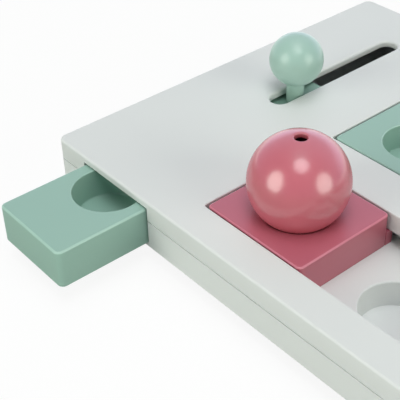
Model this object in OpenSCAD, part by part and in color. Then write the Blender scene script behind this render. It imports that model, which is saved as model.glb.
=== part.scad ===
// Puzzle feeder board for cats: two moulded shells, tiles that slide in channels to bare round wells,
// a ball that closes one tile's bowl, and a drawer that a lever on top pushes out of the left side.
// Millimetres, +Z up, feet on Z = 0. Drawn with the drawer partly out.

/* [Board] */
// Width of the casing, left side to right side
board_w = 200; // [190:1:240]
// Length of the casing, back to front
board_l = 255; // [246:1:300]
// Height of the casing above the feet
board_h = 22.5; // [21.5:0.5:30]
// Depth of the seam between the shells below the top
seam_drop = 9.4; // [9:0.2:11]
// Thickness of the top plate
plate_t = 3; // [2:0.2:3.6]
// Thickness of the side walls
wall_t = 2.4; // [1.6:0.2:3]
// Radius of the casing's upright corners
corner_r = 4; // [3.2:0.2:8]
// Radius of the casing's top edge
edge_r = 1.5; // [0.6:0.1:3]
// Depth of the shadow groove along the seam
seam_groove = 0.4; // [0.2:0.1:0.8]
// Height of the lip that locates the shells
lip_h = 2; // [1:0.5:3]
// Thickness of the locating lip
lip_t = 1.2; // [0.8:0.2:1.6]
// Gap between the lip and the cover's wall
lip_gap = 0.2; // [0.1:0.1:0.4]

/* [Channels] */
// Plain rim beside the channels
rim_w = 16; // [15.5:0.5:20]
// Depth of the back strip that holds the drawer
back_strip = 79.9; // [78:0.1:90]
// Width of the long channel
long_w = 50.6; // [46:0.2:54]
// Rib between the long channel and the cross channels
rib_w = 21.7; // [20:0.5:28]
// Length of the cross channels, back to front
cross_l = 54.8; // [46:0.2:60]
// Places along the long channel
long_places = 3; // [2:1:3]
// Places along a cross channel
cross_places = 2; // [1:1:2]
// Depth of the skirts round the channels below the top
skirt_drop = 8.5; // [7:0.1:9]
// Thickness of the skirts
skirt_t = 2.4; // [2:0.2:3]
// Radius of the channels' upright corners
channel_r = 1; // [0.6:0.1:3]

/* [Deck] */
// Depth of the deck below the top
deck_drop = 15.4; // [14:0.2:16.4]
// Thickness of the deck
deck_t = 2; // [1.4:0.2:3]
// Distance from a channel to the ridge round it
ridge_set = 6; // [4.5:0.5:6.5]
// Thickness of the ridges that keep treats in the channels
ridge_t = 2; // [1.2:0.2:2]
// Thickness of the floor under the drawer
bay_t = 1.4; // [1:0.1:2]
// Thickness of the wall between the drawer bay and the deck
bulkhead_t = 2; // [1.4:0.2:2.6]
// Distance from the bulkhead to the channels
bulkhead_gap = 8; // [7.5:0.5:9]

/* [Bowls] */
// Mouth diameter of every bowl and well
bowl_d = 29.8; // [24:0.2:32]
// Narrowing of a bowl from mouth to floor
bowl_draft = 1.4; // [0.4:0.2:3]
// Radius of a bowl's rim
bowl_rim_r = 0.6; // [0.3:0.1:1]
// Depth of the bowls in the tiles
bowl_depth = 12; // [8:0.5:12.5]
// Depth of the wells in the deck
well_depth = 11.5; // [8:0.5:12]
// Wall thickness of bowls and wells
bowl_wall = 1.6; // [1:0.2:2]

/* [Tiles] */
// Gap between a tile and its channel
tile_gap = 0.8; // [0.3:0.05:1]
// Depth of a tile's face below the board's top
tile_sink = 0.1; // [0:0.1:0.8]
// Radius of a tile's upright corners
tile_r = 2; // [0.8:0.1:3]
// Radius of a tile's top edge
tile_edge_r = 0.6; // [0.3:0.1:0.8]
// Wall thickness of a tile
tile_wall = 2.2; // [1.6:0.2:3]
// Reach of a tile's foot under the skirts
foot_reach = 2; // [1.2:0.1:3]
// Play between a tile's foot and the skirts
foot_play = 0.3; // [0.2:0.05:0.5]

/* [Ball] */
// Diameter of the ball
ball_d = 40.6; // [36:0.2:44]
// Wall thickness of the ball
ball_wall = 2; // [1.2:0.2:3]
// Diameter of the hole in the ball's top
ball_hole_d = 5.4; // [3:0.2:8]
// Play between the ball and the bowl's rim
ball_play = 0.3; // [0.2:0.05:0.4]

/* [Drawer] */
// Distance from the back to the drawer's middle
drawer_mid = 41.6; // [40.5:0.1:42.5]
// Width of the drawer
drawer_w = 42.7; // [38:0.1:43.5]
// Length of the drawer's box
drawer_l = 77.7; // [66:0.1:79]
// How far the drawer stands out as drawn
drawer_out = 42.1; // [0.5:0.1:46]
// How far the lever can push the drawer out
drawer_reach = 51.9; // [46:0.1:54]
// Gap beside the drawer
drawer_gap = 0.4; // [0.2:0.1:0.8]
// Gap between the drawer and the top plate
drawer_headroom = 0.4; // [0.3:0.1:1.6]
// Radius of the drawer's upright corners
drawer_r = 2.5; // [2:0.1:4]
// Radius of the drawer's top edge
drawer_edge_r = 1; // [0.6:0.1:2]
// Wall thickness of the drawer
drawer_wall = 2; // [1.4:0.2:3]
// Distance from the drawer's front to the middle of its bowl
drawer_bowl_back = 38.84; // [32:0.1:42]
// Depth of the drawer's bowl
drawer_bowl_depth = 13; // [8:0.5:14]
// Thickness of the drawer's guides in the base
guide_t = 2; // [1.2:0.2:2.4]
// Distance between the guides' top and the drawer's top
guide_drop = 1; // [0.5:0.5:4]

/* [Lever] */
// Distance from the drawer's front to the lever
lever_back = 146; // [142:0.1:150]
// Width of the drawer's arm
arm_w = 20; // [16:0.5:26]
// Length of the arm behind the lever
arm_tail = 17.5; // [10:0.5:24]
// Thickness of the arm's top
arm_t = 3; // [2:0.2:4]
// Diameter of the lever's stem
stem_d = 8.2; // [6:0.1:9]
// Diameter of the ball knob
knob_d = 24.6; // [18:0.2:30]
// Height of the knob's middle above the board
knob_rise = 16.4; // [14.5:0.1:30]
// Length of the slot
slot_l = 83.2; // [78:0.1:86]
// Play between the stem and the slot
slot_play = 0.6; // [0.3:0.1:0.8]
// Radius of the slot's edge
slot_edge_r = 1.3; // [0.4:0.1:1.6]
// Thickness of the stop behind the arm
stop_t = 2; // [1.2:0.2:3]
// Height of that stop above the floor under the drawer
stop_h = 5; // [3:0.5:8]

/* [Screws and feet] */
// Shank diameter of the screws
screw_d = 3; // [2:0.1:3.5]
// Head diameter of the screws
head_d = 5.6; // [4:0.1:6]
// Head height of the screws
head_h = 2.2; // [1.4:0.1:3]
// Play round a screw
screw_play = 0.05; // [0.02:0.01:0.1]
// Gap round a screw's head in its recess
head_gap = 0.2; // [0.1:0.05:0.4]
// Length of a cover screw's shank
screw_l = 12.5; // [9:0.5:13]
// Depth of the head's seat above the casing's underside
seat_h = 5; // [3.5:0.5:6]
// Diameter of the screw bosses
boss_d = 8.4; // [7.2:0.2:9]
// Shank length of the lever's screw
lever_screw_l = 12; // [8:0.5:16]
// Distance from the board's sides to the outer screws
screw_inset_x = 60; // [50:1:70]
// Distance from the back and front to the outer screws
screw_inset_y = 8.6; // [8.2:0.2:9]
// Diameter of a rubber foot
foot_d = 16; // [10:0.5:18]
// Height of a rubber foot
foot_h = 7.5; // [7:0.5:12]
// Radius of a foot's lower edge
foot_edge_r = 1; // [0.4:0.1:1.6]
// Distance from the board's sides to the feet
foot_inset_x = 20; // [12:1:26]
// Distance from the back and front to the feet
foot_inset_y = 12; // [11:0.5:14]

/* [Hidden] */
$fn = 64;
// Facets round a hull's corner posts
hull_fn = 40;
// Reach of a cutter past the face that it cuts
over = 1;

// Heights
bottom_z = foot_h;
top_z = foot_h + board_h;
plate_z = top_z - plate_t;
seam_z = top_z - seam_drop;
skirt_z = top_z - skirt_drop;
deck_z = top_z - deck_drop;
bay_z = bottom_z + bay_t;
tile_z = top_z - tile_sink;
drawer_z = plate_z - drawer_headroom;
arm_z = drawer_z - arm_t;
seat_z = bottom_z + seat_h;

// Insets from the casing's outside to the lip's two faces
lip_outside = wall_t + lip_gap;
lip_inside = lip_outside + lip_t;

// The origin is the middle of the footprint, drawer included
left = -(board_w - drawer_out) / 2;
back = board_l / 2;

// Channels as [left, right, back, front], measured from the board's left and back sides
cross_u = rim_w + long_w + rib_w;
front_v = board_l - rim_w;
long_channel = [rim_w, rim_w + long_w, back_strip, front_v];
back_channel = [cross_u, board_w - rim_w, back_strip, back_strip + cross_l];
front_channel = [cross_u, board_w - rim_w, front_v - cross_l, front_v];
cross_channels = [back_channel, front_channel];
channels = [long_channel, back_channel, front_channel];
long_pitch = (front_v - back_strip) / long_places;
cross_pitch = (board_w - rim_w - cross_u) / cross_places;
bulkhead_v = back_strip - bulkhead_gap;

// Middles of the places along the channels
long_mid = rim_w + long_w / 2;
long_spots = [for (i = [0:long_places - 1]) [long_mid, back_strip + (i + 0.5) * long_pitch]];
cross_spots = [for (c = cross_channels, i = [0:cross_places - 1])
    [cross_u + (i + 0.5) * cross_pitch, (c[2] + c[3]) / 2]];
spots = concat(long_spots, cross_spots);

// Tiles and ball
long_tile_size = [long_w - 2 * tile_gap, long_pitch - 2 * tile_gap];
cross_tile_size = [cross_pitch - 2 * tile_gap, cross_l - 2 * tile_gap];
foot_z = skirt_z - foot_play;
bowl_r = bowl_d / 2;
ball_r = ball_d / 2;
ball_lift = sqrt(pow(ball_r + bowl_rim_r + ball_play, 2) - pow(bowl_r + bowl_rim_r, 2));
ball_z = tile_z - bowl_rim_r + ball_lift;

// Drawer and lever, measured from the board's left side
mouth_half = drawer_w / 2 + drawer_gap;
lever_u = lever_back - drawer_out;
arm_end = lever_u + arm_tail;
stop_u = lever_back + arm_tail + drawer_gap;
slot_w = stem_d + 2 * slot_play;
slot_u = lever_back - drawer_reach - slot_w / 2;

// Screws and feet as [from the left, from the back]
screw_spots = [
    [screw_inset_x, screw_inset_y],
    [board_w - screw_inset_x, screw_inset_y],
    [rim_w + long_w + rib_w / 2, (back_channel[3] + front_channel[2]) / 2],
    [cross_u + cross_pitch, (back_channel[3] + front_channel[2]) / 2],
    [screw_inset_x, board_l - screw_inset_y],
    [board_w - screw_inset_x, board_l - screw_inset_y]
];

white = "#dbe1dd";
mint = "#9cc0b2";
berry = "#c4636f";
rubber = "#3c4042";
steel = "#b4b6b8";

// Places a child at u from the left side, v from the back side and height z
module at(u, v, z = 0) translate([left + u, back - v, z]) children();

// Box over ranges of u, v and z
module block(u, v, z) at(u[0], v[1], z[0]) cube([u[1] - u[0], v[1] - v[0], z[1] - z[0]]);

// Rectangle with round corners, from the origin
module round_rect(size, r) {
    translate([r, 0]) square([size.x - 2 * r, size.y]);
    translate([0, r]) square([size.x, size.y - 2 * r]);
    for (x = [r, size.x - r], y = [r, size.y - r]) translate([x, y]) circle(r);
}

// Box with round upright corners
module round_block(u, v, z, r) at(u[0], v[1], z[0])
    linear_extrude(z[1] - z[0]) round_rect([u[1] - u[0], v[1] - v[0]], r);

// Upright post with a rounded top edge
module soft_post(h, r, edge) rotate_extrude($fn = hull_fn) {
    square([r - edge, h]);
    square([r, h - edge]);
    translate([r - edge, h - edge]) intersection() {
        circle(edge);
        square(edge);
    }
}

// Box with round upright corners and a rounded top edge
module soft_block(u, v, z, r, edge) hull()
    for (x = [u[0] + r, u[1] - r], y = [v[0] + r, v[1] - r])
        at(x, y, z[0]) soft_post(z[1] - z[0], r, edge);

// Hollow of a bowl, mouth on Z = 0: tapered wall and a rounded rim
module bowl_hollow(depth) rotate_extrude() {
    floor_r = bowl_r - bowl_draft / 2;
    polygon([[0, -depth], [floor_r, -depth], [bowl_r, -bowl_rim_r], [bowl_r, over], [0, over]]);
    translate([bowl_r, -bowl_rim_r]) difference() {
        square([bowl_rim_r, bowl_rim_r + over]);
        translate([bowl_rim_r, 0]) circle(bowl_rim_r);
    }
}

// Outside of a bowl's cup, mouth on Z = 0
module bowl_cup(depth) translate([0, 0, -depth - bowl_wall])
    cylinder(depth + bowl_wall, r = bowl_r + bowl_wall);

// Half profile of the lever slot: straight wall with a rounded upper edge, Z = 0 below the top plate
module slot_profile() {
    square([slot_w / 2, plate_t + 2 * over]);
    translate([slot_w / 2, over + plate_t - slot_edge_r]) difference() {
        square([slot_edge_r, slot_edge_r + over]);
        translate([slot_edge_r, 0]) circle(slot_edge_r);
    }
}

// Slot with round ends, cut from below the top plate to above it
module lever_slot() at(slot_u + slot_w / 2, drawer_mid, plate_z - over) {
    run = slot_l - slot_w;
    for (x = [0, run]) translate([x, 0, 0]) rotate_extrude() slot_profile();
    rotate([90, 0, 90]) linear_extrude(run) {
        slot_profile();
        mirror([1, 0]) slot_profile();
    }
}

// Mouth of the drawer through the left wall of either shell
module drawer_mouth(z)
    block([-over, lip_inside + over], [drawer_mid - mouth_half, drawer_mid + mouth_half], z);

// Skirt round a channel, hung from the top plate
module skirt(c) round_block([c[0] - skirt_t, c[1] + skirt_t], [c[2] - skirt_t, c[3] + skirt_t],
    [skirt_z, plate_z + over], channel_r + skirt_t);

// Box over the whole board, set in from its sides
module board_block(inset, z, r) round_block([inset, board_w - inset], [inset, board_l - inset], z, r);

module top_cover() color(white) difference() {
    union() {
        difference() {
            soft_block([0, board_w], [0, board_l], [seam_z, top_z], corner_r, edge_r);
            board_block(wall_t, [seam_z - over, plate_z], corner_r - wall_t);
        }
        for (c = channels) skirt(c);
        for (s = screw_spots) at(s[0], s[1], seam_z) cylinder(plate_z + over - seam_z, d = boss_d);
    }
    for (c = channels) round_block([c[0], c[1]], [c[2], c[3]], [skirt_z - over, top_z + over], channel_r);
    lever_slot();
    drawer_mouth([seam_z - over, plate_z]);
    for (s = screw_spots) at(s[0], s[1], seam_z - over)
        cylinder(seat_z + screw_l + over - (seam_z - over), d = screw_d + 2 * screw_play);
}

// Block over a channel that reaches out past its edges
module channel_block(c, out, z) block([c[0] - out, c[1] + out], [c[2] - out, c[3] + out], z);

// Ridge on the deck round a channel, up to the seam
module ridge(c) difference() {
    channel_block(c, ridge_set + ridge_t, [deck_z - deck_t / 2, seam_z]);
    channel_block(c, ridge_set, [deck_z - deck_t, seam_z + over]);
}

// Walls that guide the drawer, and the stop behind its arm
module drawer_guides() {
    root_z = bay_z - bay_t / 2;
    for (v = [drawer_mid - mouth_half - guide_t, drawer_mid + mouth_half])
        block([lip_outside, drawer_l], [v, v + guide_t], [root_z, drawer_z - guide_drop]);
    arm_v = [drawer_mid - arm_w / 2, drawer_mid + arm_w / 2];
    block([stop_u, stop_u + stop_t], arm_v, [root_z, bay_z + stop_h]);
}

// Walls of the base, with the shadow groove and the locating lip along the seam
module base_walls() difference() {
    union() {
        board_block(0, [bottom_z, seam_z - seam_groove], corner_r);
        board_block(seam_groove, [bottom_z, seam_z], corner_r - seam_groove);
        board_block(lip_outside, [bottom_z, seam_z + lip_h], corner_r - wall_t);
    }
    board_block(lip_inside, [bottom_z - over, seam_z + lip_h + over], corner_r - wall_t);
    board_block(wall_t, [bottom_z - over, seam_z - lip_h], corner_r - wall_t);
}

module base_tray() color(white) difference() {
    inner_u = [wall_t / 2, board_w - wall_t / 2];
    union() {
        base_walls();
        block(inner_u, [wall_t / 2, bulkhead_v + bulkhead_t], [bottom_z, bay_z]);
        block(inner_u, [bulkhead_v, bulkhead_v + bulkhead_t], [bottom_z, deck_z]);
        block(inner_u, [bulkhead_v, board_l - wall_t / 2], [deck_z - deck_t, deck_z]);
        for (c = channels) ridge(c);
        drawer_guides();
        for (p = spots) at(p[0], p[1], deck_z) bowl_cup(well_depth);
        for (s = screw_spots) at(s[0], s[1], bottom_z) cylinder(seam_z - bottom_z, d = boss_d);
        for (u = [foot_inset_x, board_w - foot_inset_x])
            at(u, board_l - foot_inset_y, bottom_z) cylinder(deck_z - deck_t / 2 - bottom_z, d = foot_d);
    }
    for (p = spots) at(p[0], p[1], deck_z) bowl_hollow(well_depth);
    drawer_mouth([bay_z, seam_z + lip_h + over]);
    for (s = screw_spots) at(s[0], s[1], bottom_z - over) {
        cylinder(seam_z - bottom_z + 2 * over, d = screw_d + 2 * screw_play);
        cylinder(seat_h + over, d = head_d + 2 * head_gap);
    }
}

// Inside of a moulded box, open below, which leaves its walls and the cup of a bowl
module moulded_pocket(u, v, z, wall, spot, depth) difference() {
    block([u[0] + wall, u[1] - wall], [v[0] + wall, v[1] - wall], [z[0] - over, z[1] - wall]);
    at(spot[0], spot[1], z[1]) bowl_cup(depth);
}

// Sliding tile over a place: soft upper block, captive foot along two sides and a bowl
module tile(spot, size, across) {
    u = [spot[0] - size.x / 2, spot[0] + size.x / 2];
    v = [spot[1] - size.y / 2, spot[1] + size.y / 2];
    reach = foot_reach + tile_gap;
    fu = across ? 0 : reach;
    fv = across ? reach : 0;
    difference() {
        union() {
            soft_block(u, v, [deck_z, tile_z], tile_r, tile_edge_r);
            block([u[0] - fu, u[1] + fu], [v[0] - fv, v[1] + fv], [deck_z, foot_z]);
        }
        moulded_pocket(u, v, [deck_z, tile_z], tile_wall, spot, bowl_depth);
        at(spot[0], spot[1], tile_z) bowl_hollow(bowl_depth);
    }
}

module ball_tile() color(berry) tile(long_spots[0], long_tile_size, false);

module back_tile() color(mint) tile(cross_spots[0], cross_tile_size, true);

module front_tile() color(berry) tile(cross_spots[len(cross_spots) - 1], cross_tile_size, true);

module treat_ball() color(berry) at(long_spots[0][0], long_spots[0][1], ball_z) difference() {
    sphere(ball_r);
    sphere(ball_r - ball_wall);
    cylinder(ball_r + over, d = ball_hole_d);
}

// Box with a bowl, and an arm of upside down U section that carries the lever
module drawer() color(mint) difference() {
    u = [-drawer_out, drawer_l - drawer_out];
    v = [drawer_mid - drawer_w / 2, drawer_mid + drawer_w / 2];
    z = [bay_z, drawer_z];
    bowl = [drawer_bowl_back - drawer_out, drawer_mid];
    arm_in = arm_w / 2 - drawer_wall;
    union() {
        difference() {
            soft_block(u, v, z, drawer_r, drawer_edge_r);
            moulded_pocket(u, v, z, drawer_wall, bowl, drawer_bowl_depth);
        }
        difference() {
            block([u[1] - drawer_wall, arm_end], [drawer_mid - arm_w / 2, drawer_mid + arm_w / 2], z);
            block([u[1], arm_end + over], [drawer_mid - arm_in, drawer_mid + arm_in], [bay_z - over, arm_z]);
        }
    }
    at(bowl[0], bowl[1], drawer_z) bowl_hollow(drawer_bowl_depth);
    at(lever_u, drawer_mid, arm_z - over) cylinder(arm_t + 2 * over, d = screw_d + 2 * screw_play);
}

module lever_knob() color(mint) at(lever_u, drawer_mid) difference() {
    union() {
        translate([0, 0, top_z + knob_rise]) sphere(d = knob_d);
        translate([0, 0, drawer_z]) cylinder(top_z + knob_rise - drawer_z, d = stem_d);
    }
    translate([0, 0, arm_z]) cylinder(lever_screw_l + over, d = screw_d + 2 * screw_play);
}

// Pan head screw that points up, its head's seat on Z = 0
module screw(l) {
    cylinder(l, d = screw_d);
    translate([0, 0, -head_h]) cylinder(head_h, d = head_d);
}

module lever_screw() color(steel) at(lever_u, drawer_mid, arm_z) screw(lever_screw_l);

module cover_screws() color(steel) for (s = screw_spots) at(s[0], s[1], seat_z) screw(screw_l);

// Stick-on rubber foot with a rounded lower edge
module foot(u, v) color(rubber) at(u, v) rotate_extrude() {
    translate([0, foot_edge_r]) square([foot_d / 2, foot_h - foot_edge_r]);
    square([foot_d / 2 - foot_edge_r, foot_h]);
    translate([foot_d / 2 - foot_edge_r, foot_edge_r]) circle(foot_edge_r);
}

module foot_back_left() foot(foot_inset_x, foot_inset_y);

module foot_back_right() foot(board_w - foot_inset_x, foot_inset_y);

module foot_front_left() foot(foot_inset_x, board_l - foot_inset_y);

module foot_front_right() foot(board_w - foot_inset_x, board_l - foot_inset_y);

top_cover();
base_tray();
drawer();
lever_knob();
lever_screw();
ball_tile();
treat_ball();
back_tile();
front_tile();
cover_screws();
foot_back_left();
foot_back_right();
foot_front_left();
foot_front_right();
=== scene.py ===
import math

import bmesh
import bpy
import numpy as np
from mathutils import Matrix, Vector
from mathutils.geometry import delaunay_2d_cdt


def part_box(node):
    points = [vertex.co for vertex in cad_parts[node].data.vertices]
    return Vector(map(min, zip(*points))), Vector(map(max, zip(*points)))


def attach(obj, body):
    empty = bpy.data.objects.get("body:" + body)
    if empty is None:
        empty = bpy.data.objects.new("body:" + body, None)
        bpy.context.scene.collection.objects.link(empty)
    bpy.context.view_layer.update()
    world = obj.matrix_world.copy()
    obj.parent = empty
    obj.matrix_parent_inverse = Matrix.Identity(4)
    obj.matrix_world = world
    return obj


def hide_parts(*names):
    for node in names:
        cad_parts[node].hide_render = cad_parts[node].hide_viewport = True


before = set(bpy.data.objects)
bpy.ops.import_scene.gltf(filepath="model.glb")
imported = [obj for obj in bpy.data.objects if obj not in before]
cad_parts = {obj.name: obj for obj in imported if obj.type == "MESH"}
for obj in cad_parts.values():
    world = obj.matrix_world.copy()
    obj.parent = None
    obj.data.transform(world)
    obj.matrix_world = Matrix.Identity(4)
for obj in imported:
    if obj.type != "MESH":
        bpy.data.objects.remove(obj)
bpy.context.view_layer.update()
mm = 0.001  # pieces are worked out in millimetres and stored in metres
weldGap = 0.004  # mm, points closer than this become one
thinGap = 0.001  # mm, edges and slivers thinner than this are dropped
sharpAngle = 38  # degrees, steeper folds shade as edges


# Box of a CAD node in millimetres, as its lowest and highest corners
def boxOf(node):
    low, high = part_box(node)
    return np.array(low) / mm, np.array(high) / mm


# Part of a circle in a profile, from one angle to another in degrees, in so many steps
def arc(centre, radius, start, stop, steps):
    turn = np.radians(np.linspace(start, stop, steps + 1))
    return np.stack((centre[0] + radius * np.cos(turn), centre[1] + radius * np.sin(turn)), 1)


# One profile from single points and runs of points
def join(*bits):
    return np.concatenate([np.atleast_2d(np.array(bit, float)) for bit in bits])


# Faces of a grid of points whose rows close on themselves
def ringFaces(rows, columns):
    index = np.arange(rows * columns).reshape(rows, columns)
    beside = np.roll(index, -1, 1)
    return np.stack((index[:-1], beside[:-1], beside[1:], index[1:]), -1).reshape(-1, 4).tolist()


# A profile of (outset, height) carried round a rectangle with round corners: each corner is a quarter circle
# of its radius plus the outset. With no size and no radius it is a turned piece, and outset is its radius.
def carried(centre, half, radius, profile, steps):
    outset, height = profile.T[:, :, None]
    turn = np.radians(np.add.outer(np.arange(4) * 90, np.linspace(0, 90, steps + 1))).ravel()
    sideX = np.repeat([1, -1, -1, 1], steps + 1)
    sideY = np.repeat([1, 1, -1, -1], steps + 1)
    bend = np.maximum(radius + outset, 0)
    x = centre[0] + sideX * (half[0] + outset - bend) + bend * np.cos(turn)
    y = centre[1] + sideY * (half[1] + outset - bend) + bend * np.sin(turn)
    grid = np.stack((x, y, np.broadcast_to(height, x.shape)), -1)
    return grid.reshape(-1, 3), ringFaces(*x.shape)


# A turned piece round an upright axis
def turned(centre, profile, steps):
    return carried(centre, (0, 0), 0, profile, steps)


# One loop of the same rounded rectangle, grown by outset
def loopOf(centre, half, radius, outset, steps):
    return carried(centre, half, radius, np.array([[outset, 0.0]]), steps)[0][:, :2]


# Flat face at one height between an outer loop and the holes in it. The holes are convex, so a triangle with
# all its corners on one hole lies inside it and is dropped.
def flatFace(height, *loops):
    points = np.concatenate(loops)
    sizes = [len(loop) for loop in loops]
    firsts = np.cumsum([0] + sizes)
    edges = [(first + i, first + (i + 1) % size) for first, size in zip(firsts, sizes) for i in range(size)]
    spots = [Vector(point) for point in points]
    keepInside = 1  # the triangulation's output type
    flat, _, faces, sources, *_ = delaunay_2d_cdt(spots, edges, [], keepInside, thinGap)
    owner = np.repeat(np.arange(len(loops)), sizes)[[source[0] for source in sources]]
    corners = owner[np.array(faces)]
    inHole = (corners == corners[:, :1]).all(1) & (corners[:, 0] > 0)
    return np.array([(point.x, point.y, height) for point in flat]), np.array(faces)[~inHole].tolist()


# A closed outline of (across, height) drawn out along X or Y, with both ends closed
def drawnOut(outline, start, stop, along="x"):
    count = len(outline)
    level = np.repeat([start, stop], count)
    across, height = np.tile(outline, (2, 1)).T
    points = np.stack((level, across, height) if along == "x" else (across, level, height), -1)
    ring = np.arange(count)
    following = np.roll(ring, -1)
    sides = np.stack((ring, following, following + count, ring + count), -1).tolist()
    return points, sides + [ring.tolist(), (ring + count)[::-1].tolist()]


# Upright rectangle with round corners, as an outline for drawnOut
def softOutline(low, high, radius, steps=4):
    middle = (np.array(low) + high) / 2
    return loopOf(middle, (np.array(high) - low) / 2, radius, 0, steps)


# One closed mesh from several sheets: welded where they meet, faces outwards, edges sharp where they fold
def makeMesh(name, sheets):
    firsts = np.cumsum([0] + [len(points) for points, _ in sheets])
    points = np.concatenate([points for points, _ in sheets]) * mm
    faces = [[first + corner for corner in face] for first, (_, some) in zip(firsts, sheets) for face in some]
    mesh = bpy.data.meshes.new(name)
    mesh.from_pydata(points, [], faces)
    tidy(mesh)
    return mesh


# Welds near points, drops slivers, turns the faces outwards and shades all but the sharp folds smooth
def tidy(mesh):
    work = bmesh.new()
    work.from_mesh(mesh)
    bmesh.ops.remove_doubles(work, verts=work.verts, dist=weldGap * mm)
    bmesh.ops.dissolve_degenerate(work, edges=work.edges, dist=thinGap * mm)
    bmesh.ops.recalc_face_normals(work, faces=work.faces)
    work.to_mesh(mesh)
    work.free()
    mesh.shade_smooth()
    mesh.set_sharp_from_angle(angle=math.radians(sharpAngle))


# Cuts one mesh with others, or joins them to it
def combine(mesh, others, operation):
    base = bpy.data.objects.new("base", mesh)
    bpy.context.collection.objects.link(base)
    helpers = [base]
    for other in others:
        helper = bpy.data.objects.new("helper", other)
        bpy.context.collection.objects.link(helper)
        helpers.append(helper)
        change = base.modifiers.new("change", "BOOLEAN")
        change.operation = operation
        change.object = helper
        change.solver = "EXACT"
    seen = base.evaluated_get(bpy.context.evaluated_depsgraph_get())
    result = bpy.data.meshes.new_from_object(seen)
    result.name = mesh.name
    for helper in helpers:
        bpy.data.objects.remove(helper)
    tidy(result)
    return result


# Faces of a boxy piece that get a painted highlight: within a depth of its top in millimetres, and neither
# upright nor flat
paintedHighlightBand = {"depth": 2.0, "upright": 0.2, "flat": 0.98}


# Marks them for the painted edge highlight by the upward part of each normal: the rounded edges of the top
# and the rim of the bowl
def markEdges(mesh):
    normals = np.empty(3 * len(mesh.polygons))
    centres = np.empty_like(normals)
    mesh.polygons.foreach_get("normal", normals)
    mesh.polygons.foreach_get("center", centres)
    lean, height = normals[2::3], centres[2::3]
    upper = height > height.max() - paintedHighlightBand["depth"] * mm
    marked = upper & (lean > paintedHighlightBand["upright"]) & (lean < paintedHighlightBand["flat"])
    mesh.attributes.new("edge", "FLOAT", "FACE").data.foreach_set("value", marked.astype(float))
    return mesh


# A finished piece: its finish, the body that it moves with and the node that it stands for
def place(name, mesh, finish, body, node):
    piece = bpy.data.objects.new(name, mesh)
    bpy.context.collection.objects.link(piece)
    mesh.materials.clear()
    mesh.materials.append(finish)
    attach(piece, body)
    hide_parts(node)
    print("made", name, len(mesh.polygons), "faces")


# Finishes

# sRGB hex to the linear colour that Blender wants
def linear(code):
    part = np.array([int(code[i:i + 2], 16) for i in (1, 3, 5)]) / 255
    part = np.where(part <= 0.04045, part / 12.92, ((part + 0.055) / 1.055) ** 2.4)
    return (*part.tolist(), 1.0)


# Adds a node with its settings, and its inputs as values or links
def addNode(tree, kind, settings, inputs):
    node = tree.nodes.new(kind)
    for key, value in settings.items():
        setattr(node, key, value)
    for key, value in inputs.items():
        if isinstance(value, bpy.types.NodeSocket):
            tree.links.new(value, node.inputs[key])
        else:
            node.inputs[key].default_value = value
    return node


# A material with an empty node tree
def newFinish(name):
    finish = bpy.data.materials.new(name)
    finish.use_nodes = True
    finish.node_tree.nodes.clear()
    return finish, finish.node_tree


noiseSpan = (0.3, 0.7)  # where most values of a noise texture lie


# Moulded plastic: pigment clouds a few centimetres wide between two close tints, a fine pitted grain from
# the eroded mould, and gloss that wanders a little where the melt cooled at other speeds. Where the look has
# a painted edge highlight, the rounded top edges get a paler colour as a painted highlight, and are smoother.
def mouldedPlastic(name, look):
    finish, tree = newFinish(name)
    spot = addNode(tree, "ShaderNodeTexCoord", {}, {}).outputs["Object"]
    cloud = addNode(tree, "ShaderNodeTexNoise", {},
                    {"Vector": spot, "Scale": 1 / (look["cloud"] * mm), "Detail": 1.0}).outputs["Fac"]
    colour = addNode(tree, "ShaderNodeMix", {"data_type": "RGBA"},
                     {"Factor": cloud, 6: linear(look["dark"]), 7: linear(look["light"])}).outputs[2]
    rough = addNode(tree, "ShaderNodeMapRange", {},
                    {"Value": cloud, "From Min": noiseSpan[0], "From Max": noiseSpan[1],
                     "To Min": look["rough"] - look["wander"],
                     "To Max": look["rough"] + look["wander"]}).outputs["Result"]
    # Painted highlight: the marked edge faces take a paler colour, and a smoother roughness
    if "paintedEdgeHighlight" in look:
        edge = addNode(tree, "ShaderNodeAttribute", {"attribute_name": "edge"}, {}).outputs["Fac"]
        colour = addNode(tree, "ShaderNodeMix", {"data_type": "RGBA"},
                         {"Factor": edge, 6: colour, 7: linear(look["paintedEdgeHighlight"])}).outputs[2]
        rough = addNode(tree, "ShaderNodeMix", {},
                        {"Factor": edge, 2: rough, 3: look["edgeRough"]}).outputs[0]
    grain = addNode(tree, "ShaderNodeTexNoise", {},
                    {"Vector": spot, "Scale": 1 / (look["grain"] * mm), "Detail": 2.0})
    bump = addNode(tree, "ShaderNodeBump", {}, {"Height": grain.outputs["Fac"], "Strength": look["bump"],
                                                "Distance": look["pit"] * mm})
    shader = addNode(tree, "ShaderNodeBsdfPrincipled", {},
                     {"Base Color": colour, "Roughness": rough, "Normal": bump.outputs["Normal"],
                      "IOR": look["ior"], "Specular IOR Level": look["shine"]})
    addNode(tree, "ShaderNodeOutputMaterial", {}, {"Surface": shader.outputs["BSDF"]})
    return finish


# White ABS from an eroded mould: a soft satin white with a breath of green, never a clear reflection. The
# real grain of all these is about 0.2 mm, drawn coarser so that it shows
whiteShell = mouldedPlastic("satinWhiteAbs", {
    "dark": "#dbdedd", "light": "#e0e3e2", "cloud": 45, "rough": 0.45, "wander": 0.03, "ior": 1.53,
    "shine": 0.3, "grain": 0.7, "pit": 0.02, "bump": 0.06})

# Mint ABS of the drawer and tile: the same satin grain, with a painted highlight in paler mint on the rounded
# edges
mintPlastic = mouldedPlastic("satinMintAbs", {
    "dark": "#92b6a9", "light": "#97bbad", "cloud": 40, "rough": 0.4, "wander": 0.03, "ior": 1.53,
    "shine": 0.55, "paintedEdgeHighlight": "#a6c8bb", "edgeRough": 0.3, "grain": 0.7, "pit": 0.02, "bump": 0.05})

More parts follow.
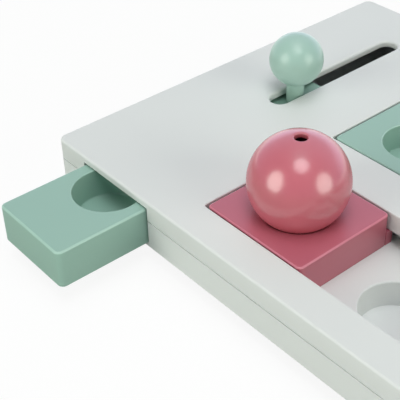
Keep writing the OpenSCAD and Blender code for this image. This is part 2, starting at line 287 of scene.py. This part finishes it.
# Mint ABS of the lever, from a smoother mould: a paler mint with a soft lamp patch on the knob
glossMint = mouldedPlastic("glossMintAbs", {
    "dark": "#a2c3b8", "light": "#a7c8bd", "cloud": 30, "rough": 0.32, "wander": 0.02, "ior": 1.53,
    "shine": 0.6, "grain": 1.0, "pit": 0.01, "bump": 0.04})

# Berry ABS of the tiles: a smoother mould, so pale things behind lie on it as a dim sheen, and a painted
# highlight in paler berry on the rounded edges
berryTile = mouldedPlastic("semiGlossBerryAbs", {
    "dark": "#b55d6d", "light": "#b96373", "cloud": 36, "rough": 0.33, "wander": 0.02, "ior": 1.53,
    "shine": 0.65, "paintedEdgeHighlight": "#cd7888", "edgeRough": 0.3, "grain": 0.8, "pit": 0.015, "bump": 0.03})

# Berry ABS of the ball, from a polished mould: lamps show on it as soft bright patches
berryGloss = mouldedPlastic("glossBerryAbs", {
    "dark": "#c3626f", "light": "#c76773", "cloud": 30, "rough": 0.22, "wander": 0.01, "ior": 1.53,
    "shine": 1.0, "grain": 1.2, "pit": 0.01, "bump": 0.02})

# Grey thermoplastic rubber of the feet: dull, with a coarse matt skin
rubberFoot = mouldedPlastic("matteGreyRubber", {
    "dark": "#3a3d3f", "light": "#43474a", "cloud": 12, "rough": 0.75, "wander": 0.05, "ior": 1.5,
    "shine": 0.4, "grain": 0.5, "pit": 0.04, "bump": 0.3})


# Zinc plated steel of the screws: bright grey metal, clouded by its plating
def zincSteel():
    look = {"dark": "#9a9c9e", "light": "#b9bbbd", "cloud": 3, "rough": 0.34, "wander": 0.06}
    finish, tree = newFinish("zincPlatedSteel")
    spot = addNode(tree, "ShaderNodeTexCoord", {}, {}).outputs["Object"]
    cloud = addNode(tree, "ShaderNodeTexNoise", {},
                    {"Vector": spot, "Scale": 1 / (look["cloud"] * mm), "Detail": 4.0}).outputs["Fac"]
    tint = addNode(tree, "ShaderNodeMix", {"data_type": "RGBA"},
                   {"Factor": cloud, 6: linear(look["dark"]), 7: linear(look["light"])})
    gloss = addNode(tree, "ShaderNodeMapRange", {},
                    {"Value": cloud, "To Min": look["rough"] - look["wander"],
                     "To Max": look["rough"] + look["wander"]})
    shader = addNode(tree, "ShaderNodeBsdfPrincipled", {},
                     {"Base Color": tint.outputs[2], "Metallic": 1.0, "Roughness": gloss.outputs["Result"]})
    addNode(tree, "ShaderNodeOutputMaterial", {}, {"Surface": shader.outputs["BSDF"]})
    return finish


zincScrew = zincSteel()
print("finishes ready")

# Layout of the board in millimetres, measured from its left and back sides as u and v
board = {"wall": 2.4, "plate": 3.0, "corner": 4.0, "edge": 1.0, "seamEdge": 0.3, "guard": 1.0,
         "rim": 16.0, "backStrip": 79.9, "longWidth": 50.6, "rib": 21.7, "crossLength": 54.8,
         "skirtDrop": 8.5, "skirt": 2.4, "channelCorner": 1.0, "channelEdge": 0.5,
         "slotStart": 89.4, "slotLength": 83.2, "slotWidth": 9.4, "slotEdge": 1.3, "drawerMiddle": 41.6,
         "mouthHalf": 21.75, "mouthTop": 0.02, "cutPast": 2.0,
         "boss": 4.2, "bore": 1.55, "boreTop": 25.0, "screwInset": (60.0, 8.6),
         "steps": {"rim": 10, "channel": 6, "slot": 12, "boss": 8}}
coverLow, coverHigh = boxOf("top_cover")
coverMiddle = (coverLow + coverHigh)[:2] / 2
coverHalf = (coverHigh - coverLow)[:2] / 2
topZ, seamZ = coverHigh[2], coverLow[2]
plateZ, skirtZ = topZ - board["plate"], topZ - board["skirtDrop"]
boardWidth, boardLength = 2 * coverHalf


# Point on the board from its left and back sides
def onBoard(u, v):
    return np.array([coverLow[0] + u, coverHigh[1] - v])


# Middle and half size of a rectangle on the board
def fieldOf(u0, u1, v0, v1):
    return onBoard((u0 + u1) / 2, (v0 + v1) / 2), np.array([u1 - u0, v1 - v0]) / 2


crossStart = board["rim"] + board["longWidth"] + board["rib"]
frontEnd = boardLength - board["rim"]
crossEnd = boardWidth - board["rim"]
channels = [fieldOf(board["rim"], board["rim"] + board["longWidth"], board["backStrip"], frontEnd),
            fieldOf(crossStart, crossEnd, board["backStrip"], board["backStrip"] + board["crossLength"]),
            fieldOf(crossStart, crossEnd, frontEnd - board["crossLength"], frontEnd)]
slotHalf = board["slotWidth"] / 2
slotField = fieldOf(board["slotStart"], board["slotStart"] + board["slotLength"],
                    board["drawerMiddle"] - slotHalf, board["drawerMiddle"] + slotHalf)
screwU, screwV = board["screwInset"]
betweenCross = (board["backStrip"] + board["crossLength"] + frontEnd - board["crossLength"]) / 2
screwSpots = [onBoard(screwU, screwV), onBoard(boardWidth - screwU, screwV),
              onBoard(crossStart - board["rib"] / 2, betweenCross),
              onBoard((crossStart + crossEnd) / 2, betweenCross),
              onBoard(screwU, boardLength - screwV), onBoard(boardWidth - screwU, boardLength - screwV)]


# Top shell: rim wall, skirts round the channels, lever slot and screw bosses, each a profile carried round
# its loop, between the two faces of the plate. The drawer's mouth is cut through the wall
def topShell():
    wall, edge, seamEdge, guard = board["wall"], board["edge"], board["seamEdge"], board["guard"]
    soft, skirt, steps = board["channelEdge"], board["skirt"], board["steps"]
    rim = join((-wall, plateZ), (-wall, seamZ + seamEdge),
               arc((seamEdge - wall, seamZ + seamEdge), seamEdge, 180, 270, 3),
               arc((-seamEdge, seamZ + seamEdge), seamEdge, 270, 360, 3), (0, topZ - edge - guard),
               arc((-edge, topZ - edge), edge, 0, 90, 8), (-edge - guard, topZ))
    hem = join((soft + guard, topZ), arc((soft, topZ - soft), soft, 90, 180, 5), (0, topZ - soft - guard),
               arc((seamEdge, skirtZ + seamEdge), seamEdge, 180, 270, 3),
               arc((skirt - seamEdge, skirtZ + seamEdge), seamEdge, 270, 360, 3), (skirt, plateZ))
    lip = board["slotEdge"]
    slotEdge = join((lip + guard, topZ), arc((lip, topZ - lip), lip, 90, 180, 6), (0, plateZ))
    boss = join((board["boss"], plateZ), (board["boss"], seamZ), (board["bore"], seamZ),
                (board["bore"], board["boreTop"]), (0, board["boreTop"]))
    slotRound = slotField[1][1]
    sheets = [carried(coverMiddle, coverHalf, board["corner"], rim, steps["rim"])]
    upper = [loopOf(coverMiddle, coverHalf, board["corner"], -edge - guard, steps["rim"])]
    lower = [loopOf(coverMiddle, coverHalf, board["corner"], -wall, steps["rim"])]
    for middle, half in channels:
        sheets.append(carried(middle, half, board["channelCorner"], hem, steps["channel"]))
        upper.append(loopOf(middle, half, board["channelCorner"], soft + guard, steps["channel"]))
        lower.append(loopOf(middle, half, board["channelCorner"], skirt, steps["channel"]))
    sheets.append(carried(*slotField, slotRound, slotEdge, steps["slot"]))
    upper.append(loopOf(*slotField, slotRound, lip + guard, steps["slot"]))
    lower.append(loopOf(*slotField, slotRound, 0, steps["slot"]))
    for spot in screwSpots:
        sheets.append(turned(spot, boss, steps["boss"]))
        lower.append(loopOf(spot, (0, 0), 0, board["boss"], steps["boss"]))
    sheets += [flatFace(topZ, *upper), flatFace(plateZ, *lower)]
    mouthY, past = onBoard(0, board["drawerMiddle"])[1], board["cutPast"]
    mouth = softOutline((mouthY - board["mouthHalf"], seamZ - past),
                        (mouthY + board["mouthHalf"], plateZ - board["mouthTop"]), 0)
    cutter = makeMesh("mouth", [drawnOut(mouth, coverLow[0] - past, coverLow[0] + wall + past)])
    return combine(makeMesh("topShell", sheets), [cutter], "DIFFERENCE")


place("topShell", topShell(), whiteShell, "board", "top_cover")

# Bowls of the tiles and the drawer
bowl = {"mouth": 14.9, "floor": 14.2, "rim": 0.6, "toe": 0.8, "wall": 1.6, "steps": 20, "cornerSteps": 8}


# Inside of a bowl from its flat surround: rounded rim, tapered wall, a small round at the floor
def bowlProfile(height, depth):
    rim, toe = bowl["rim"], bowl["toe"]
    return join((bowl["mouth"] + 2 * rim, height), arc((bowl["mouth"] + rim, height - rim), rim, 90, 180, 5),
                arc((bowl["floor"] - toe, height - depth + toe), toe, 0, -90, 4), (0, height - depth))


# Moulded box, open below, with a bowl in its top: outer wall, rounded top edge, pocket and the bowl's cup
def bowlBox(middle, half, spot, bottom, top, shape):
    wall, edge, guard, sole = shape["wall"], shape["edge"], shape["guard"], shape["sole"]
    corner, steps, around = shape["corner"], bowl["cornerSteps"], bowl["steps"]
    side = join((-wall, top - wall), (-wall, bottom), (-sole, bottom),
                arc((-sole, bottom + sole), sole, 270, 360, 3), (0, top - edge - guard),
                arc((-edge, top - edge), edge, 0, 90, 7), (-edge - guard, top))
    cup = bowl["mouth"] + bowl["wall"]
    under = top - shape["bowlDepth"] - bowl["wall"]
    cupSide = join((cup, top - wall), arc((cup - sole, under + sole), sole, 0, -90, 3), (0, under))
    rimLoop = loopOf(spot, (0, 0), 0, bowl["mouth"] + 2 * bowl["rim"], around)
    cupLoop = loopOf(spot, (0, 0), 0, cup, around)
    return [carried(middle, half, corner, side, steps),
            turned(spot, bowlProfile(top, shape["bowlDepth"]), around), turned(spot, cupSide, around),
            flatFace(top, loopOf(middle, half, corner, -edge - guard, steps), rimLoop),
            flatFace(top - wall, loopOf(middle, half, corner, -wall, steps), cupLoop)]


# Drawer: a bowl box and an arm of upside down U section that carries the lever. The sole is lifted clear of
# the floor of its bay, the sides and top have play in the mouth, and the arm drops below the lever slot
drawerShape = {"length": 77.7, "wall": 2.0, "corner": 2.5, "edge": 1.0, "guard": 0.8, "sole": 0.3,
               "bowlBack": 38.84, "bowlDepth": 13.0, "lift": 0.05, "play": 0.35,
               "armWidth": 20.0, "armPlate": 3.0, "armInset": 1.0, "armDrop": 1.5}


def drawerMesh():
    low, high = boxOf("drawer")
    low[2] += drawerShape["lift"]
    length, wall, play = drawerShape["length"], drawerShape["wall"], drawerShape["play"]
    middle = np.array([low[0] + length / 2, (low[1] + high[1]) / 2])
    half = np.array([length, high[1] - low[1] - 2 * play]) / 2
    spot = np.array([low[0] + drawerShape["bowlBack"], middle[1]])
    box = makeMesh("drawer", bowlBox(middle, half, spot, low[2], high[2] - play, drawerShape))
    reach = drawerShape["armWidth"] / 2
    inner, roof = reach - wall, high[2] - drawerShape["armPlate"]
    armTop = high[2] - drawerShape["armDrop"]
    section = np.array([(-reach, low[2]), (-inner, low[2]), (-inner, roof), (inner, roof), (inner, low[2]),
                        (reach, low[2]), (reach, armTop), (-reach, armTop)]) + (middle[1], 0)
    arm = makeMesh("arm", [drawnOut(section, low[0] + length - drawerShape["armInset"], high[0])])
    return markEdges(combine(box, [arm], "UNION"))


place("drawerBox", drawerMesh(), mintPlastic, "drawer", "drawer")

# Sliding tiles: a bowl box, and a foot along two sides that runs under the skirts
tileShape = {"wall": 2.2, "corner": 2.0, "edge": 0.8, "guard": 0.6, "sole": 0.2, "bowlDepth": 12.0,
             "footReach": 2.8, "footHeight": 6.6, "footSet": 1.0, "footSoft": 0.3, "footTrim": 0.03}


def tileMesh(node, across):
    low, high = boxOf(node)
    reach, inset, trim = tileShape["footReach"], tileShape["footSet"], tileShape["footTrim"]
    middle = (low + high)[:2] / 2
    half = (high - low)[:2] / 2
    side = 1 if across else 0  # the foot stands out in Y on a tile that slides along X
    half[side] -= reach
    box = makeMesh(node, bowlBox(middle, half, middle, low[2], high[2], tileShape))
    footTop = low[2] + tileShape["footHeight"]
    span = (middle - half)[1 - side] + trim, (middle + half)[1 - side] - trim
    feet = []
    for way in (-1, 1):
        ends = sorted(middle[side] + way * (half[side] + past) for past in (-inset, reach))
        outline = softOutline((ends[0], low[2]), (ends[1], footTop), tileShape["footSoft"], 3)
        feet.append(makeMesh("foot", [drawnOut(outline, *span, "x" if across else "y")]))
    return markEdges(combine(box, feet, "UNION"))


place("ballTile", tileMesh("ball_tile", False), berryTile, "ball_tile", "ball_tile")
place("backTile", tileMesh("back_tile", True), mintPlastic, "back_tile", "back_tile")
place("frontTile", tileMesh("front_tile", True), berryTile, "front_tile", "front_tile")

# Hollow ball with a round hole in its top
ballShape = {"wall": 2.0, "hole": 2.6, "soft": 0.7, "steps": 96, "softSteps": 7, "around": 44}


# Outer arc from the foot of the ball to the hole's rounded edge, down the hole and back along the inside
def ballMesh():
    low, high = boxOf("treat_ball")
    centre = (low + high) / 2
    outer = (high - low)[0] / 2
    centre[2] = low[2] + outer
    inner, hole, soft = outer - ballShape["wall"], ballShape["hole"], ballShape["soft"]
    outerEnd = math.degrees(math.acos((hole + soft) / (outer - soft)))
    softZ = math.sqrt((outer - soft) ** 2 - (hole + soft) ** 2)
    innerEnd = math.degrees(math.acos(hole / inner))
    profile = join(arc((0, 0), outer, -90, outerEnd, ballShape["steps"]),
                   arc((hole + soft, softZ), soft, outerEnd, 180, ballShape["softSteps"]),
                   arc((0, 0), inner, innerEnd, -90, ballShape["steps"] // 2))
    return makeMesh("treatBall", [turned(centre[:2], profile + (0, centre[2]), ballShape["around"])])


place("treatBall", ballMesh(), berryGloss, "ball", "treat_ball")

# Lever: a ball knob on a round stem, in one piece, with a blind hole for its screw. The stem reaches down to
# the drawer's arm, and a small fillet joins it to the knob
leverShape = {"stem": 4.1, "fillet": 0.7, "sole": 0.3, "hole": 1.55, "holeDepth": 10.0,
              "steps": 40, "filletSteps": 4, "around": 20}


def leverMesh():
    low, high = boxOf("lever_knob")
    centre = (low + high) / 2
    knob = (high - low)[0] / 2
    knobZ = high[2] - knob
    stem, fillet, sole = leverShape["stem"], leverShape["fillet"], leverShape["sole"]
    foot = low[2] - drawerShape["armDrop"]
    hole, holeTop = leverShape["hole"], low[2] + leverShape["holeDepth"]
    out = stem + fillet
    drop = math.sqrt((knob + fillet) ** 2 - out ** 2)
    meet = math.degrees(math.atan2(drop, -out))
    profile = join((0, holeTop), (hole, holeTop), (hole, foot), (stem - sole, foot), (stem, foot + sole),
                   arc((out, knobZ - drop), fillet, 180, meet, leverShape["filletSteps"]),
                   arc((0, knobZ), knob, meet - 180, 90, leverShape["steps"]))
    return makeMesh("lever", [turned(centre[:2], profile, leverShape["around"])])


place("lever", leverMesh(), glossMint, "drawer", "lever_knob")

# Stick-on feet: a short turned pad with a rounded lower edge and a shallow dish below
footShape = {"soft": 1.0, "dish": 0.35, "land": 2.0, "around": 12}
for side in ("back_left", "back_right", "front_left", "front_right"):
    low, high = boxOf("foot_" + side)
    radius, soft, land = (high - low)[0] / 2, footShape["soft"], footShape["land"]
    pad = join((0, high[2]), (radius, high[2]), arc((radius - soft, low[2] + soft), soft, 0, -90, 5),
               (radius - soft - land, low[2]), (radius - soft - 2 * land, low[2] + footShape["dish"]),
               (0, low[2] + footShape["dish"]))
    mesh = makeMesh("foot." + side, [turned((low + high)[:2] / 2, pad, footShape["around"])])
    place("foot." + side, mesh, rubberFoot, "board", "foot_" + side)

# Pan head screws: a turned shank and a domed head with a cross recess pressed into it
screwShape = {"shank": 1.5, "head": 2.8, "headHeight": 2.2, "dome": 0.7, "point": 1.0, "tip": 0.75,
              "crossArm": 1.7, "crossHalf": 0.35, "crossSoft": 0.15, "crossDepth": 1.2, "crossFade": 10.0,
              "around": 16, "headRings": 24}


# The head's underside is a polar grid: a dome, pressed in along two crossing bars that fade past their ends
def screwMesh(spot, seat, tip):
    shape = screwShape
    foot = seat - shape["headHeight"]
    profile = join((shape["head"], foot + shape["dome"]), (shape["head"], seat), (shape["shank"], seat),
                   (shape["shank"], tip - shape["point"]), (shape["tip"], tip), (0, tip))
    columns = np.linspace(0, 2 * np.pi, 4 * shape["around"], endpoint=False)
    out = np.linspace(shape["head"], 0, shape["headRings"] + 1)[:, None]
    x, y = out * np.cos(columns), out * np.sin(columns)
    dome = foot + shape["dome"] * (out / shape["head"]) ** 2
    bars = np.minimum(np.abs(x) + shape["crossFade"] * np.maximum(np.abs(y) - shape["crossArm"], 0),
                      np.abs(y) + shape["crossFade"] * np.maximum(np.abs(x) - shape["crossArm"], 0))
    soft = shape["crossSoft"]
    press = np.clip((shape["crossHalf"] + soft - bars) / (2 * soft), 0, 1) * shape["crossDepth"]
    z = np.broadcast_to(dome, x.shape) + press
    grid = np.stack((spot[0] + x, spot[1] + y, z), -1)
    return [turned(spot, profile, shape["around"]), (grid.reshape(-1, 3), ringFaces(*x.shape))]


screwLow, screwHigh = boxOf("cover_screws")
coverScrews = [sheet for spot in screwSpots
               for sheet in screwMesh(spot, screwLow[2] + screwShape["headHeight"], screwHigh[2])]
place("coverScrews", makeMesh("coverScrews", coverScrews), zincScrew, "board", "cover_screws")
leverLow, leverHigh = boxOf("lever_screw")
leverScrew = screwMesh((leverLow + leverHigh)[:2] / 2, leverLow[2] + screwShape["headHeight"], leverHigh[2])
place("leverScrew", makeMesh("leverScrew", leverScrew), zincScrew, "drawer", "lever_screw")

# Lower shell keeps its CAD form
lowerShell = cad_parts["base_tray"]
lowerShell.data.materials.clear()
lowerShell.data.materials.append(whiteShell)
print("pieces ready")


# One for the named kinds of ray, else nought
def anyRay(tree, *kinds):
    path = addNode(tree, "ShaderNodeLightPath", {}, {})
    found = path.outputs[kinds[0]]
    for kind in kinds[1:]:
        found = addNode(tree, "ShaderNodeMath", {"operation": "MAXIMUM"},
                        {0: found, 1: path.outputs[kind]}).outputs[0]
    return found


# Level direction from a heading in degrees, from +X towards +Y
def levelWay(heading):
    return np.array((math.cos(math.radians(heading)), math.sin(math.radians(heading)), 0.0))


# Headings to the back of the set, away from the camera, and to the brightest part of the backdrop
setHeading = {"back": 50.8, "lit": 26.0}
backWay, litWay = levelWay(setHeading["back"]), levelWay(setHeading["lit"])

# Floor: a wide pale sheet at the soles of the feet. For the camera a large share of it glows, so that it
# reads as white with faint shadows. Reflections see it dim near the object, and lit like the backdrop behind
# it: far is where that starts and ends, in metres towards the backdrop
floorShape = {"half": 4000.0, "paint": "#f7f8f7", "shade": "#f3f4f3", "mottle": 250.0, "glow": 0.9,
              "bounce": "#e4e5e4", "mirrored": "#a9aaa9", "far": (0.05, 0.35), "farGlow": 1.7}
white = linear("#ffffff")


def floorSheet():
    finish, tree = newFinish("palePaintedFloor")
    spot = addNode(tree, "ShaderNodeTexCoord", {}, {}).outputs["Object"]
    mottle = addNode(tree, "ShaderNodeTexNoise", {},
                     {"Vector": spot, "Scale": 1 / (floorShape["mottle"] * mm)})
    tint = addNode(tree, "ShaderNodeMix", {"data_type": "RGBA"},
                   {"Factor": mottle.outputs["Fac"],
                    6: linear(floorShape["shade"]), 7: linear(floorShape["paint"])})
    paint = addNode(tree, "ShaderNodeBsdfDiffuse", {}, {"Color": tint.outputs[2]})
    glow = addNode(tree, "ShaderNodeEmission", {}, {"Color": white, "Strength": 1.0})
    seen = addNode(tree, "ShaderNodeMixShader", {},
                   {0: floorShape["glow"], 1: paint.outputs["BSDF"], 2: glow.outputs["Emission"]})
    glossy = anyRay(tree, "Is Glossy Ray")
    lit = addNode(tree, "ShaderNodeMix", {"data_type": "RGBA"},
                  {"Factor": glossy, 6: linear(floorShape["bounce"]), 7: linear(floorShape["mirrored"])})
    bounce = addNode(tree, "ShaderNodeBsdfDiffuse", {}, {"Color": lit.outputs[2]})
    both = addNode(tree, "ShaderNodeMixShader", {},
                   {0: anyRay(tree, "Is Camera Ray", "Is Transmission Ray"),
                    1: bounce.outputs["BSDF"], 2: seen.outputs["Shader"]})
    depth = addNode(tree, "ShaderNodeVectorMath", {"operation": "DOT_PRODUCT"}, {0: spot, 1: litWay})
    far = addNode(tree, "ShaderNodeMapRange", {"interpolation_type": "SMOOTHSTEP"},
                  {"Value": depth.outputs["Value"],
                   "From Min": floorShape["far"][0], "From Max": floorShape["far"][1]})
    share = addNode(tree, "ShaderNodeMath", {"operation": "MULTIPLY"}, {0: far.outputs["Result"], 1: glossy})
    behind = addNode(tree, "ShaderNodeEmission", {}, {"Color": white, "Strength": floorShape["farGlow"]})
    whole = addNode(tree, "ShaderNodeMixShader", {},
                    {0: share.outputs[0], 1: both.outputs["Shader"], 2: behind.outputs["Emission"]})
    addNode(tree, "ShaderNodeOutputMaterial", {}, {"Surface": whole.outputs["Shader"]})
    half = floorShape["half"]
    corners = np.array([(-half, -half, 0), (half, -half, 0), (half, half, 0), (-half, half, 0)]) * mm
    mesh = bpy.data.meshes.new("floor")
    mesh.from_pydata(corners, [], [(0, 1, 2, 3)])
    mesh.materials.append(finish)
    floor = bpy.data.objects.new("floor", mesh)
    bpy.context.collection.objects.link(floor)


floorSheet()

# Room: fill light in two soft lobes, a narrow one overhead and a broad one that leans to the back. Each fades
# as a power of the cosine from its axis. The camera sees white past the object. Reflections see a room that
# brightens from its near to its far side, with a lit backdrop low down at the far end. Spans and the rise
# are cosines from the way to the backdrop and from straight up
room = {"lobes": [{"fill": 5.0, "fade": 30.0, "lean": 0.0}, {"fill": 0.6, "fade": 3.0, "lean": 40.0}],
        "fillTint": "#f6f9fb", "mirrorTint": "#e6e9ff",
        "nearSide": 0.5, "farSide": 1.15, "sideSpan": (-0.3, 0.9),
        "backdrop": 0.9, "backdropRise": (0.5, 0.2), "backdropSpan": (0.45, 0.85)}


def whiteRoom():
    world = bpy.data.worlds.new("whiteRoom")
    bpy.context.scene.world = world
    world.use_nodes = True
    tree = world.node_tree
    tree.nodes.clear()
    way = addNode(tree, "ShaderNodeTexCoord", {}, {}).outputs["Object"]
    levels = []
    for lobe in room["lobes"]:
        lean = math.radians(lobe["lean"])
        axis = math.sin(lean) * backWay + (0, 0, math.cos(lean))
        along = addNode(tree, "ShaderNodeVectorMath", {"operation": "DOT_PRODUCT"}, {0: way, 1: axis})
        ahead = addNode(tree, "ShaderNodeMath", {"operation": "MAXIMUM"}, {0: along.outputs["Value"], 1: 0.0})
        fade = addNode(tree, "ShaderNodeMath", {"operation": "POWER"}, {0: ahead.outputs[0], 1: lobe["fade"]})
        level = addNode(tree, "ShaderNodeMath", {"operation": "MULTIPLY"},
                        {0: fade.outputs[0], 1: lobe["fill"]})
        levels.append(level.outputs[0])
    total = addNode(tree, "ShaderNodeMath", {"operation": "ADD"}, {0: levels[0], 1: levels[1]})
    fill = addNode(tree, "ShaderNodeBackground", {},
                   {"Color": linear(room["fillTint"]), "Strength": total.outputs[0]})
    depth = addNode(tree, "ShaderNodeVectorMath", {"operation": "DOT_PRODUCT"}, {0: way, 1: litWay})
    sweep = addNode(tree, "ShaderNodeMapRange", {"interpolation_type": "SMOOTHSTEP"},
                    {"Value": depth.outputs["Value"],
                     "From Min": room["sideSpan"][0], "From Max": room["sideSpan"][1],
                     "To Min": room["nearSide"], "To Max": room["farSide"]})
    height = addNode(tree, "ShaderNodeVectorMath", {"operation": "DOT_PRODUCT"}, {0: way, 1: (0.0, 0.0, 1.0)})
    low = addNode(tree, "ShaderNodeMapRange", {"interpolation_type": "SMOOTHSTEP"},
                  {"Value": height.outputs["Value"], "To Max": room["backdrop"],
                   "From Min": room["backdropRise"][0], "From Max": room["backdropRise"][1]})
    beyond = addNode(tree, "ShaderNodeMapRange", {"interpolation_type": "SMOOTHSTEP"},
                     {"Value": depth.outputs["Value"],
                      "From Min": room["backdropSpan"][0], "From Max": room["backdropSpan"][1]})
    backdrop = addNode(tree, "ShaderNodeMath", {"operation": "MULTIPLY_ADD"},
                       {0: low.outputs["Result"], 1: beyond.outputs["Result"], 2: sweep.outputs["Result"]})
    mirror = addNode(tree, "ShaderNodeBackground", {},
                     {"Color": linear(room["mirrorTint"]), "Strength": backdrop.outputs[0]})
    plain = addNode(tree, "ShaderNodeBackground", {}, {"Color": white, "Strength": 1.0})
    shown = addNode(tree, "ShaderNodeMixShader", {},
                    {0: anyRay(tree, "Is Camera Ray"),
                     1: mirror.outputs["Background"], 2: plain.outputs["Background"]})
    both = addNode(tree, "ShaderNodeMixShader", {},
                   {0: anyRay(tree, "Is Camera Ray", "Is Glossy Ray", "Is Transmission Ray"),
                    1: fill.outputs["Background"], 2: shown.outputs["Shader"]})
    addNode(tree, "ShaderNodeOutputWorld", {}, {"Surface": both.outputs["Shader"]})


whiteRoom()

# Three soft boxes round the board, all turned to one point: headings and heights in degrees, sizes in metres
boxAim, boxAway = Vector((-0.035, 0.02, 0.04)), 2.2
softBoxes = {
    "leftBox": {"heading": 168, "height": 17.5, "size": (1.4, 1.75), "watts": 25.0, "tint": "#fbfff3"},
    "topBox": {"heading": -127, "height": 68, "size": (1.2, 1.2), "watts": 12.6, "tint": "#ffffff"},
    "rightBox": {"heading": -77, "height": 16.5, "size": (1.45, 1.65), "watts": 21.5, "tint": "#fbfff3"}}
for name, box in softBoxes.items():
    lamp = bpy.data.lights.new(name, "AREA")
    lamp.shape = "ELLIPSE"
    lamp.size, lamp.size_y = box["size"]
    lamp.energy = box["watts"]
    lamp.color = linear(box["tint"])[:3]
    height = math.radians(box["height"])
    towards = Vector(math.cos(height) * levelWay(box["heading"]) + (0, 0, math.sin(height)))
    stand = bpy.data.objects.new(name, lamp)
    stand.location = boxAim + towards * boxAway
    stand.rotation_euler = towards.to_track_quat("Z", "Y").to_euler()
    bpy.context.collection.objects.link(stand)

# Camera at the photograph's place: millimetres in the part's frame, degrees, a lens for a square frame, and
# its near and far limits in metres
shot = {"eye": (-257.0, -188.2, 263.1), "heading": 50.835, "dip": 37.052, "roll": -1.675,
        "lens": 87.99, "sensor": 36.0, "limits": (0.01, 20.0)}


def shootFrom():
    heading, dip, roll = (math.radians(shot[key]) for key in ("heading", "dip", "roll"))
    forward = Vector((math.cos(dip) * math.cos(heading), math.cos(dip) * math.sin(heading), -math.sin(dip)))
    level = Vector((math.sin(heading), -math.cos(heading), 0))
    upright = level.cross(forward)
    right = level * math.cos(roll) + upright * math.sin(roll)
    up = right.cross(forward)
    camera = bpy.data.cameras.new("camera")
    camera.lens, camera.sensor_width = shot["lens"], shot["sensor"]
    camera.clip_start, camera.clip_end = shot["limits"]
    stand = bpy.data.objects.new("camera", camera)
    bpy.context.collection.objects.link(stand)
    turn = Matrix((right, up, -forward)).transposed().to_4x4()
    stand.matrix_world = Matrix.Translation(Vector(shot["eye"]) * mm) @ turn
    bpy.context.scene.camera = stand


shootFrom()
bpy.context.scene.view_settings.view_transform = "Standard"
print("stage ready")
